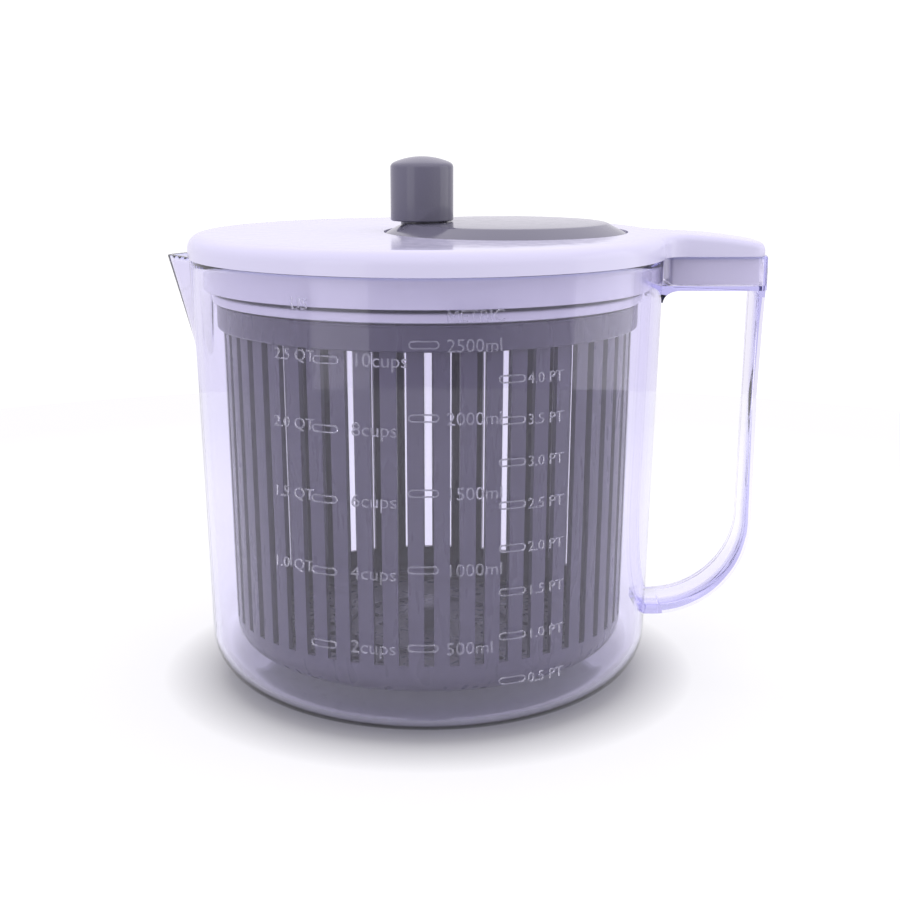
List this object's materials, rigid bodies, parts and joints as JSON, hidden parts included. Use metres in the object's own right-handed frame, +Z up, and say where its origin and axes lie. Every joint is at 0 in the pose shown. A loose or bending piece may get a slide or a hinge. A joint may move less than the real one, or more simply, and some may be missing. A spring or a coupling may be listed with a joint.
{
  "type": "salad spinner",
  "caption": "Clear measuring-jug salad spinner: lid with a geared crank and off-centre knob spins a slotted basket on a pivot; spout and loop handle.",
  "frame": {"origin": "centre of the flat underside of the jug, on the basket's axis", "axes": "+Z up along the basket's axis; +X towards the handle, -X towards the pouring spout"},
  "size_m": [0.2153, 0.1706, 0.1896],
  "materials": {
    "clear_plastic": "clear, polished, faint lavender tint",
    "white_plastic": "gloss",
    "crank_plastic": "gloss",
    "basket_plastic": "satin",
    "bearing_plastic": "natural acetal",
    "steel": "zinc plated"
  },
  "bodies": {
    "jug": {"jug": "clear_plastic"},
    "bearing": {"pivot_bush": "bearing_plastic"},
    "basket": {"basket": "basket_plastic"},
    "lid": {"lid_cover": "white_plastic", "gear_cover": "white_plastic", "gear_cover_screw_1": "steel", "gear_cover_screw_2": "steel", "gear_cover_screw_3": "steel", "gear_cover_screw_4": "steel", "crank_bush": "bearing_plastic", "pinion_axle": "steel", "pinion_washer": "steel", "pinion_screw": "steel"},
    "crank": {"crank_disc": "crank_plastic", "drive_gear": "bearing_plastic", "crank_washer": "steel", "crank_screw": "steel", "knob_pin": "steel"},
    "knob": {"knob": "crank_plastic"},
    "drive": {"pinion": "bearing_plastic", "drive_plate": "white_plastic"}
  },
  "joints": [
    {"name": "lid_lift", "type": "slide", "parent": "jug", "child": "lid", "axis": [0, 0, 1], "range_m": [0, 0.18]},
    {"name": "basket_lift", "type": "slide", "parent": "jug", "child": "bearing", "axis": [0, 0, 1], "range_m": [0, 0.15]},
    {"name": "basket_spin", "type": "hinge", "parent": "bearing", "child": "basket", "pos_m": [0, 0, 0.018], "axis": [0, 0, 1], "continuous": true},
    {"name": "crank_spin", "type": "hinge", "parent": "lid", "child": "crank", "pos_m": [0.028, 0, 0.162], "axis": [0, 0, 1], "continuous": true},
    {"name": "plate_spin", "type": "hinge", "parent": "lid", "child": "drive", "pos_m": [0, 0, 0.142], "axis": [0, 0, 1], "continuous": true},
    {"name": "knob_spin", "type": "hinge", "parent": "crank", "child": "knob", "pos_m": [-0.002, 0, 0.167], "axis": [0, 0, 1], "continuous": true}
  ],
  "couplings": [
    {"joint": "basket_lift", "follows": "lid_lift", "ratio": 0.8333},
    {"joint": "crank_spin", "follows": "basket_spin", "ratio": -0.33333},
    {"joint": "plate_spin", "follows": "basket_spin", "ratio": 1}
  ]
}
